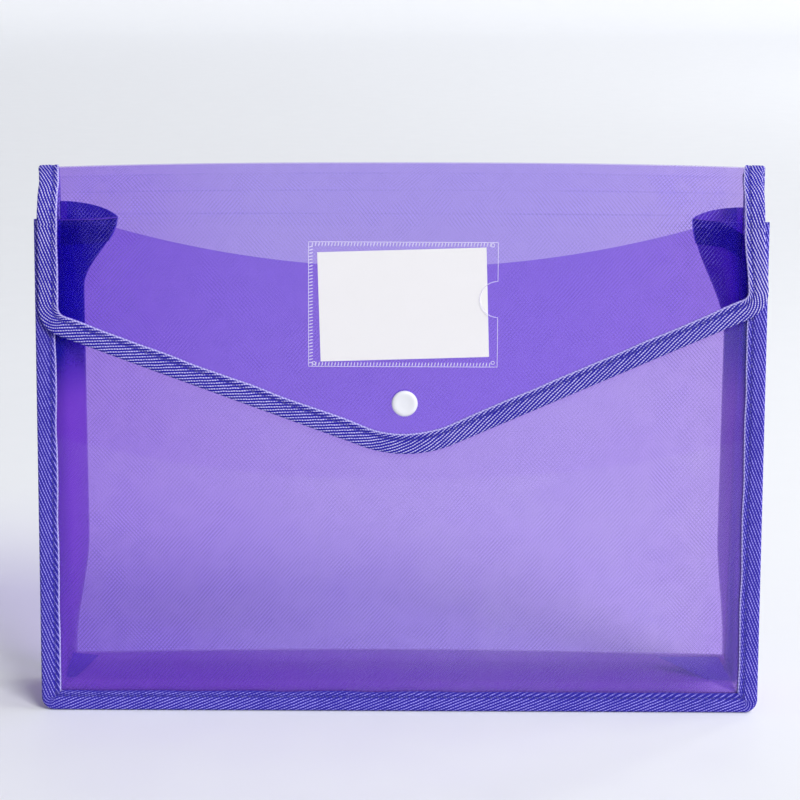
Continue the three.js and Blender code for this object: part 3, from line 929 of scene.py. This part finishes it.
def fold_sheet(k):
    points, normals, s = fold_profile(k, SHEET_BENDS[k > 0])
    width = HALF_WIDTH - EDGE_INSET
    xs = np.linspace(-width, width, FOLD_COLUMNS)
    from_score = s - (SPINE_LENGTH - SPINE_PITCH * k)
    score = (SCORE_DEPTH if k else 0.0) * np.exp(-((from_score / SCORE_WIDTH) ** 2))
    uvs = np.array([[(x, v) for x in xs] for v in s])
    maker = Maker()
    faces = []
    for side in (1, -1):
        yz = points + normals * (side * SHEET / 2 - score)[:, None]
        faces.append(np.array([[(x, y, z) for x in xs] for y, z in yz]))
        maker.grid(faces[-1][::side], uvs[::side])
    for column in (0, -1):
        edge = np.stack([face[:, column] for face in faces])
        maker.grid(edge, np.stack([uvs[:, column]] * 2))
    return maker.object(f"fold_{k + 1}_sheet", [panel_plastic], angle=35, shape=draped)


def fold_tape(k, side):
    points, normals, s = fold_profile(k, TAPE_BENDS[k > 0], steps=13)
    share = smooth((s - (SPINE_LENGTH - HALF_STRIP)) / SPINE_PITCH + 0.5) if k == 0 else s * 0
    rows, uvs = [], []
    fine = tape_section(FLAP_HALF, FLAP_SLOT)
    full = tape_section(BODY_HALF, BODY_SLOT)
    for (a, b, v), (_, wide, _) in zip(fine, full):
        yz = points - normals * lerp(b, wide, share)[:, None]
        rows.append([(side * (HALF_WIDTH - a), y, z) for y, z in yz])
        uvs.append(np.stack([side * s, np.full(len(s), v)], 1))
    maker = Maker()
    maker.grid(np.array(rows), np.array(uvs), closed=True, caps=True)
    x = side * (HALF_WIDTH - GROOVE_AT)
    half = lerp(FLAP_HALF, BODY_HALF, share) - GROOVE_DEPTH - STITCH_SUNK
    for face in (-1, 1):
        place = np.array([(x, y, z) for y, z in points + normals * (face * half)[:, None]])
        stitches(maker, place, np.array([(0, y * face, z * face) for y, z in normals]))
    word = "left" if side == -1 else "right"
    return maker.object(f"fold_{k + 1}_tape_{word}", [flap_tape, thread], shape=draped)


strip_names = ("upper", "middle", "lower")
BEND_HALF = 2.4
for k, place in enumerate(folds):
    made = [fold_sheet(k), fold_tape(k, -1), fold_tape(k, 1)]
    start = place - directions[k] * BEND_HALF
    end = place + directions[k + 1] * BEND_HALF
    start, end = (0, *(start * MM)), (0, *(end * MM))
    for piece, slot_name in zip(made, ("panel_plastic", "woven_tape", "woven_tape")):
        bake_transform(piece)
    if k < len(strip_names):
        strip = f"spine_{strip_names[k]}"
        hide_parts(strip)
        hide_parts(f"{strip}_binding_left")
        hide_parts(f"{strip}_binding_right")


# Gusset

GUSSET_SHEET = 0.5
# Depth of each side's fold, its depth at the upper end, and the length of that flare
GUSSET_LEFT = (20.5, 36.0, 32.0)
GUSSET_RIGHT = (17.5, 33.0, 52.0)
FLOOR_FOLD = 21.5
CORNER_IN, CORNER_UP, CORNER_REACH = 13.0, 19.0, 80.0
FULLNESS = 0.75
SIDE_STEPS, FLOOR_STEPS, LEAF_STEPS = 56, 70, 12
# Upper ends, left and right: rise of the rear leaf, drop of the front leaf
REAR_RISE = (5.5, 3.9)
FRONT_DROP = (0.0, 7.0)
END_FROM, END_OVER = 165.0, 60.0
# Crowding of the folded layers, with painted shade on the strip's upper ends: heights, left and
# right, then its easing beside the fold
CROWD_FROM, CROWD_OVER = 138.0, 40.0
END_CROWDING = (1.0, 0.68)
FOLD_EASE = (0.35, 0.5)
FOLD_FROM, FOLD_OVER = 0.97, 0.4
# Offsets from the sheet's middle of the hem, its bright edge and the pleats
HEM_ROWS = 4
HEM = (0.3, 0.75)
EDGE_STRIP = (0.78, 0.95)
# The bright edge is a painted highlight: a thin band with less of the deep tint.
EDGE_SHARE, EDGE_HIGHLIGHT = 0.14, 0.3
PLEAT_HALF, PLEAT_CROWDING, PLEAT_AT = 0.2, 0.28, -0.86
# Pleats at the two lower corners: where each starts and its two far points, as (x, height)
PLEATS = (
    ((-156.0, 8.0), (-150.7, 25.8), (-138.8, 24.6)),
    ((156.0, 8.0), (147.0, 25.0), (119.0, 25.0)),
)


def gusset_point(x, h, across):
    front = FRONT.at(x, h, FLANGE_OFFSET)
    back = BACK.at(x, h, -FLANGE_OFFSET)
    return lerp(front, back, (across + 1) / 2)


def gusset_station(edge, inner, fold):
    """One section of the strip, from the front sheet round its fold to the back sheet."""
    edge, inner, fold = (np.array(p, float) for p in (edge, inner, fold))
    bend = lerp(inner, fold, FULLNESS)
    half = [(edge[0], edge[1], 1.0)]
    for k in range(LEAF_STEPS + 1):
        t = k / LEAF_STEPS
        near, middle = (1 - t) ** 2, 2 * t * (1 - t)
        place = inner * near + bend * middle + fold * t**2
        half.append((place[0], place[1], near + middle))
    front = [gusset_point(x, h, -c) for x, h, c in half]
    back = [gusset_point(x, h, c) for x, h, c in half[:-1]][::-1]
    return front + back


def side_fold(shape, t):
    fold, ear, ear_length = shape
    height = lerp(FRONT_HEIGHT, CORNER_UP, t)
    ear_share = smooth((height - (FRONT_HEIGHT - ear_length)) / ear_length)
    corner_share = 1 - smooth((height - CORNER_UP) / (CORNER_REACH - CORNER_UP))
    return fold + (ear - fold) * ear_share + (CORNER_IN - fold) * corner_share


def gusset_stations():
    """The strip's sections down the left side, along the floor and up the right side."""
    inset = CORNER - (CORNER - EDGE_INSET) / math.sqrt(2)

    def station(side, t, fold, rise=0.0):
        return gusset_station(
            (side * (HALF_WIDTH - inset), lerp(FRONT_HEIGHT, inset, t)),
            (side * (HALF_WIDTH - TAPE_WIDTH), lerp(FRONT_HEIGHT, TAPE_WIDTH, t)),
            (side * (HALF_WIDTH - fold), lerp(FRONT_HEIGHT, CORNER_UP, t) + rise),
        )

    down = np.arange(SIDE_STEPS) / SIDE_STEPS
    rows = [station(-1, t, side_fold(GUSSET_LEFT, t)) for t in down]
    for t in np.arange(FLOOR_STEPS) / FLOOR_STEPS:
        rise = (FLOOR_FOLD - CORNER_UP) * math.sin(math.pi * t)
        rows.append(station(lerp(-1, 1, t), 1, CORNER_IN, rise))
    rows += [station(1, t, side_fold(GUSSET_RIGHT, t)) for t in (1, *down[::-1])]
    return np.array(rows)


def shell(maker, grid, low, high, uvs, slot=0):
    """A surface grid as a closed sheet between two offsets along its normal."""
    normal = np.cross(np.gradient(grid, axis=0), np.gradient(grid, axis=1))
    normal /= np.maximum(np.linalg.norm(normal, axis=2), 1e-9)[..., None]
    verts = np.concatenate([(grid + normal * d).reshape(-1, 3) for d in (high, low)])
    a, b = np.arange(len(verts)).reshape(2, *grid.shape[:2])
    faces = quads(a[:-1, :-1], a[1:, :-1], a[1:, 1:], a[:-1, 1:])
    faces += quads(b[:-1, :-1], b[:-1, 1:], b[1:, 1:], b[1:, :-1])
    for side in (np.s_[:, 0], np.s_[::-1, -1], np.s_[0, ::-1], np.s_[-1, :]):
        one, two = a[side], b[side]
        faces += quads(one[:-1], two[:-1], two[1:], one[1:])
    maker.add(verts, faces, np.concatenate([uvs, uvs]), slot)


def even_uv(grid, crowding_and_shade):
    """The same crowding and painted shade for a whole surface grid."""
    return np.tile([crowding_and_shade, 0.0], (grid.shape[0] * grid.shape[1], 1))


stations = gusset_stations()
across = np.linspace(-1, 1, stations.shape[1])
on_left = stations[..., 0] < 0
near_end = smooth((stations[..., 2] - END_FROM) / END_OVER)
rear_rise = np.where(on_left, *REAR_RISE) * np.sin(np.clip(across, 0, 1) * np.pi / 2)
front_drop = np.where(on_left, *FRONT_DROP) * smooth((-across - 0.5) / 0.5)
near_fold = smooth((FOLD_FROM - np.abs(across)) / FOLD_OVER)
# The deep tint at the strip's upper ends: more folded layers there, and painted shade.
crowding_and_shade = smooth((stations[..., 2] - CROWD_FROM) / CROWD_OVER)
crowding_and_shade = crowding_and_shade * (1 - np.where(on_left, *FOLD_EASE) * near_fold)
crowding_and_shade = crowding_and_shade * np.where(on_left, *END_CROWDING)
stations[..., 2] += near_end * (rear_rise - front_drop)
maker = Maker()
uvs = np.stack([crowding_and_shade, stations[..., 2]], 2).reshape(-1, 2)
shell(maker, stations, -GUSSET_SHEET / 2, GUSSET_SHEET / 2, uvs)
for rows in (stations[:HEM_ROWS, 2:-2], stations[-HEM_ROWS:, 2:-2]):
    shell(maker, rows, *HEM, even_uv(rows, 0.0), 1)
# The upper edge of each end catches the light.
for top, next_row in ((0, 1), (-1, -2)):
    edge, under = stations[top, 1 : LEAF_STEPS + 2], stations[next_row, 1 : LEAF_STEPS + 2]
    rows = np.array([edge, lerp(edge, under, EDGE_SHARE)])
    shell(maker, rows, *EDGE_STRIP, even_uv(rows, EDGE_HIGHLIGHT))
for start, *ends in PLEATS:
    start = gusset_point(*start, PLEAT_AT)
    ends = np.array([gusset_point(*end, PLEAT_AT) for end in ends])
    rows = lerp(start, ends, np.linspace(0.02, 1, 8)[:, None, None])
    shell(maker, rows, -PLEAT_HALF, PLEAT_HALF, even_uv(rows, PLEAT_CROWDING))
gusset = maker.object("gusset_strip", [gusset_plastic, hem_plastic], angle=50)
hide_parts("gusset")
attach(gusset, "back")
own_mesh(gusset)


# Label pocket

POCKET = (85.4, 56.6)
POCKET_AT = (0.8, -39.7)
WELD = 2.2
FILM = 0.3
FILM_GAP = 0.1
FILM_MIDDLE = -1.3
FILM_SAG = 0.25
NOTCH_REACH, NOTCH_HEIGHT = 7.8, 2.6
half_w, half_h = POCKET[0] / 2, POCKET[1] / 2
WELD_DEPTH = -SHEET / 2 - FILM_GAP - FILM
TICK_STEP, TICK_LONG, TICK_WIDE, TICK_SLANT = 1.45, 2.0, 0.5, 0.25
TICK_SIDES = 12
# A tick's rings, from the film outwards: share of its size, and height
TICK_RINGS = ((1.0, -0.1), (1.0, 0.0), (0.85, 0.14), (0.45, 0.2))
TICK_IN = WELD / 2 + 0.2
RIM_IN = 0.25
NOTCH_RIM = NOTCH_REACH + 0.3
# Weld rings at three corners: their radius, and their middles
RING = 0.75
RING_PLACES = (
    (half_w - 2.6, half_h - 1.5),
    (half_w - 2.2, -half_h + 2.2),
    (-half_w + 2.6, -half_h + 1.8),
)


def on_flap(x, h, depth):
    """Points of the pocket, from its own middle, at a depth from the flap's middle."""
    x, h = x + POCKET_AT[0], h + POCKET_AT[1]
    return FLAP.at(x, h, depth + flap_bulged(x, h))


def film_middle(x, h):
    """Depth of the film's middle: flat at its three welded sides, proud elsewhere."""
    edge = np.minimum.reduce([x + half_w, h + half_h, half_h - h])
    lift = smooth((edge - WELD * 0.7) / (WELD * 1.1))
    flat = -SHEET / 2 - FILM_GAP - FILM / 2
    return flat + lift * (FILM_MIDDLE - flat - FILM_SAG * np.cos(x / 30) * np.cos(h / 20))


def pocket_film_grid(columns=48, rows=34):
    """The film's middle as a grid of points, cut back by the thumb notch on the right."""
    out = []
    for share in np.linspace(-1, 1, rows):
        h = share * half_h
        cut = math.sqrt(max(0.0, NOTCH_REACH**2 - (h - NOTCH_HEIGHT) ** 2))
        out.append([(x, h) for x in np.linspace(-half_w, half_w - cut, columns)])
    return np.array(out)


def weld_tick(maker, x, h, angle):
    """A small rounded weld mark on the film."""
    x, h = x + POCKET_AT[0], h + POCKET_AT[1]
    turn = 2 * math.pi * np.arange(TICK_SIDES) / TICK_SIDES
    long, wide = np.cos(turn) * TICK_LONG / 2, np.sin(turn) * TICK_WIDE / 2
    dx = long * math.cos(angle) - wide * math.sin(angle)
    dh = long * math.sin(angle) + wide * math.cos(angle)
    depth = WELD_DEPTH + flap_bulged(x, h)
    rings = [FLAP.at(x + dx * size, h + dh * size, depth - lift) for size, lift in TICK_RINGS]
    maker.add(np.concatenate(rings), tube_faces(len(rings), TICK_SIDES), slot=1)


def bead(maker, points, closed=False, width=0.3, height=0.16):
    """A thin raised line of melted film along points of the pocket."""
    points = np.array(points, float)
    along = np.gradient(points, axis=0)
    if closed:
        along[[0, -1]] = points[1] - points[-2]
    along /= np.linalg.norm(along, axis=1)[:, None]
    side = np.stack([-along[:, 1], along[:, 0]], 1)
    rows = []
    for across, lift in ((-0.5, 0.0), (-0.35, height), (0.35, height), (0.5, 0.0)):
        x, h = (points + side * across * width).T
        rows.append(on_flap(x, h, film_middle(x, h) - FILM / 2 + 0.02 - lift))
    rows = np.array(rows)
    maker.grid(rows, np.zeros((*rows.shape[:2], 2)), closed=True, caps=not closed, slot=1)


maker = Maker()
flat = pocket_film_grid()
x, h = flat[..., 0], flat[..., 1]
shell(maker, on_flap(x, h, film_middle(x, h)), -FILM / 2, FILM / 2, flat.reshape(-1, 2))
for k in range(int(POCKET[0] / TICK_STEP) - 2):
    for h in (TICK_IN - half_h, half_h - TICK_IN):
        weld_tick(maker, k * TICK_STEP - half_w + 2.0, h, math.pi / 2 - TICK_SLANT)
for k in range(int(POCKET[1] / TICK_STEP) - 2):
    weld_tick(maker, TICK_IN - half_w, k * TICK_STEP - half_h + 2.0, TICK_SLANT)
inner_w, inner_h = half_w - RIM_IN, half_h - RIM_IN
rim = [(x, -inner_h) for x in np.linspace(inner_w, -inner_w, 60)]
rim += [(-inner_w, h) for h in np.linspace(-inner_h, inner_h, 40)[1:]]
rim += [(x, inner_h) for x in np.linspace(-inner_w, inner_w, 60)[1:]]
bead(maker, rim)
open_side = [(inner_w, h) for h in np.linspace(inner_h, NOTCH_HEIGHT + NOTCH_RIM, 10)[:-1]]
open_side += [
    (inner_w + NOTCH_RIM * math.cos(t), NOTCH_HEIGHT + NOTCH_RIM * math.sin(t))
    for t in np.linspace(math.pi / 2, 3 * math.pi / 2, 24)
]
open_side += [(inner_w, h) for h in np.linspace(NOTCH_HEIGHT - NOTCH_RIM, -inner_h, 12)[1:]]
bead(maker, open_side)
turn = np.linspace(0, 2 * math.pi, 21)
for x, h in RING_PLACES:
    ring = np.stack([x + RING * np.cos(turn), h + RING * np.sin(turn)], 1)
    bead(maker, ring, closed=True, width=0.35, height=0.22)
window = maker.object("label_pocket_film", [pocket_film, film_weld], angle=50)
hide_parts("label_window")
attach(window, "flap")

CARD = (75.8, 49.2)
CARD_HALF = 0.13
CARD_TILT = math.radians(1.8)
CARD_MIDDLE = -0.78
CARD_CURL, CARD_WAVE = 0.12, 0.05
low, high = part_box("label_card")
cx, ch = np.meshgrid(
    np.linspace(-CARD[0] / 2, CARD[0] / 2, 30), np.linspace(-CARD[1] / 2, CARD[1] / 2, 20)
)
curl = CARD_WAVE * np.sin(ch / 15) - CARD_CURL * np.cos(cx / 24)
x = (low.x + high.x) / 2 / MM + cx * math.cos(CARD_TILT) - ch * math.sin(CARD_TILT)
h = POCKET_AT[1] + cx * math.sin(CARD_TILT) + ch * math.cos(CARD_TILT)
maker = Maker()
middle = FLAP.at(x, h, CARD_MIDDLE + curl + flap_bulged(x, h))
shell(maker, middle, -CARD_HALF, CARD_HALF, np.stack([cx, ch], 2).reshape(-1, 2))
card = maker.object("label_card_sheet", [card_white], angle=50)
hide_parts("label_card")
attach(card, "card")


# Snap fastener

CAP_RADIUS = 5.9
CAP_HEIGHT, INNER_CAP_HEIGHT = 2.0, 1.1
CAP_GAP = 0.1
PRONG_RADIUS, PRONG_LENGTH = 1.2, 1.0
# Caps in section: (radius, share of the height), from the middle to the rolled rim
CAP_DOME = (
    (0.0, 0.86), (1.2, 0.86), (2.2, 0.88), (3.0, 0.93), (3.8, 0.99), (4.5, 1.0), (5.1, 0.94),
    (5.5, 0.82), (5.78, 0.62), (CAP_RADIUS, 0.38), (CAP_RADIUS - 0.04, 0.14), (5.7, 0.05),
)
# Socket in section: (radius, depth behind the flap's middle)
SOCKET = (
    (1.5, 0.35), (5.2, 0.35), (5.4, 0.45), (5.4, 1.35), (5.25, 1.5), (4.9, 1.55),
    (3.4, 1.55), (3.1, 1.45), (3.1, 0.75), (1.5, 0.75),
)
# Stud in section: (radius, height off the front sheet)
STUD = (
    (0.0, 0.8), (1.5, 0.8), (1.5, 0.1), (5.3, 0.1), (5.4, 0.2), (5.4, 0.5),
    (5.2, 0.6), (2.3, 0.6), (2.35, 1.0), (2.1, 1.35), (1.7, 1.4), (0.0, 1.4),
)


def turned(name, plane, profile, segments=72):
    """A piece of the snap turned round its sheet's normal, from (radius, depth) points."""
    h, bulged = (-SNAP_DROP, flap_bulged) if plane is FLAP else (SNAP_RISE, front_bulged)
    lift = bulged(SNAP_X, h)
    turn = np.linspace(0, 2 * np.pi, segments, endpoint=False)
    verts, rings, faces = [], [], []
    for r, d in profile:
        around = turn if r else turn[:1]
        rings.append(np.resize(np.arange(len(around)) + len(verts), segments))
        verts += list(plane.at(SNAP_X + r * np.cos(around), h + r * np.sin(around), d + lift))
    if profile[0][0]:
        rings.append(rings[0])
    for one, two in zip(rings, rings[1:]):
        around = quads(one, np.roll(one, -1), np.roll(two, -1), two)
        faces += [tuple(dict.fromkeys(face)) for face in around]
    maker = Maker()
    maker.add(verts, faces)
    return maker.object(name, [snap_white], angle=32)


def cap_profile(face, away, height):
    """Domed cap with a rolled rim and a slightly sunk middle, then its prong."""
    out = [(r, face + away * lerp(CAP_GAP, height, share)) for r, share in CAP_DOME]
    out.append((PRONG_RADIUS, face + away * CAP_GAP))
    return out + [(r, face - away * PRONG_LENGTH) for r in (PRONG_RADIUS, 0.0)]


cap = turned("snap_cap", FLAP, cap_profile(-SHEET / 2, -1, CAP_HEIGHT))
inner_cap = turned(
    "snap_inner_cap", FRONT, cap_profile(-PANEL_OFFSET + SHEET / 2, 1, INNER_CAP_HEIGHT)
)
socket = turned("snap_socket", FLAP, SOCKET)
stud = turned("snap_stud", FRONT, [(r, -PANEL_OFFSET - SHEET / 2 - rise) for r, rise in STUD])
for piece, body, node in (
    (cap, "flap", "flap_snap_cap"),
    (socket, "flap", "flap_snap_socket"),
    (stud, "front", "panel_snap_stud"),
    (inner_cap, "front", "panel_snap_cap"),
):
    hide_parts(node)
    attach(piece, body)


# Stage, in metres: a floor that curves up into a wall

FLOOR_SIZE = 8.0
FLOOR_DROP = 1e-4
WALL_AT, WALL_CURVE, WALL_HEIGHT, WALL_STEPS = 6.5, 1.0, 3.0, 24
profile = [(-FLOOR_SIZE / 2, -FLOOR_DROP)]
for a in np.linspace(0, math.pi / 2, WALL_STEPS + 1):
    profile.append(
        (WALL_AT - WALL_CURVE * (1 - math.sin(a)), WALL_CURVE * (1 - math.cos(a)) - FLOOR_DROP)
    )
profile.append((WALL_AT, WALL_HEIGHT))
mesh = bpy.data.meshes.new("floor")
verts = [(x, y, z) for y, z in profile for x in (-FLOOR_SIZE / 2, FLOOR_SIZE / 2)]
faces = [(2 * k, 2 * k + 1, 2 * k + 3, 2 * k + 2) for k in range(len(profile) - 1)]
mesh.from_pydata(verts, [], faces)
mesh.shade_smooth()
floor = placed("floor", mesh)
mesh.materials.append(
    plain("floor_paint", rgb(230, 232, 236), 0.6, grain=30, depth=0.0, mottle=0.01)
)
floor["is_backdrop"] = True

# World: it lights softly, but looks pale to the camera and in reflections

WORLD_COLOUR = (0.93, 0.94, 1.0, 1)
WORLD, SEEN_WORLD = 0.2, 0.9
s = Shader(bpy.data.worlds.new("studio"))
rays = s.node("LightPath").outputs
seen = rays["Is Camera Ray"]
for kind in ("Is Glossy Ray", "Is Transmission Ray"):
    seen = s.math("MAXIMUM", seen, rays[kind])
sky = s.node(
    "Background", Color=WORLD_COLOUR, Strength=s.scaled(seen, SEEN_WORLD - WORLD, WORLD)
)
bpy.context.scene.world = s.surface(sky, "OutputWorld")


def lamp(name, kind, energy, place, target, size):
    """A soft lamp; size is a square's side in metres or a sun's angle in degrees."""
    data = bpy.data.lights.new(name, kind)
    data.energy = energy
    if kind == "AREA":
        data.shape = "SQUARE"
        data.size = size
    else:
        data.angle = math.radians(size)
    obj = placed(name, data)
    obj.location = place
    aim = Vector(target) - Vector(place)
    obj.rotation_euler = aim.to_track_quat("-Z", "Y").to_euler()


lamp("key", "SUN", 2.45, place=(0.75, -1.15, 1.15), target=(0, 0, 0), size=25)
lamp("side", "AREA", 17.0, place=(1.3, 0.0, 1.4), target=(0, 0.1, 0), size=1.2)
lamp("backdrop", "AREA", 50.0, place=(3.0, 3.2, 2.0), target=(0.6, 3.6, 0), size=1.2)

# Camera, fitted to the photograph's outline

PITCH = math.radians(12)
ROLL = math.radians(0.257)
DISTANCE = 1.080
FOCAL = 2356.7
FRAME_WIDTH = 800
TARGET = (-0.00041, 0, 0.1419)
data = bpy.data.cameras.new("camera")
data.sensor_width = 36
data.lens = FOCAL / FRAME_WIDTH * data.sensor_width
data.clip_end = 100
camera = placed("camera", data)
turn = Matrix.Rotation(math.pi / 2 - PITCH, 4, "X") @ Matrix.Rotation(ROLL, 4, "Z")
retreat = Matrix.Translation((0, 0, DISTANCE))
camera.matrix_world = Matrix.Translation(TARGET) @ turn @ retreat
bpy.context.scene.camera = camera
bpy.context.scene.view_settings.view_transform = "Standard"
# Light crosses up to sixteen faces of clear film where the flap, panels and gusset overlap.
bpy.context.scene.cycles.transparent_max_bounces = 32

low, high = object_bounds()
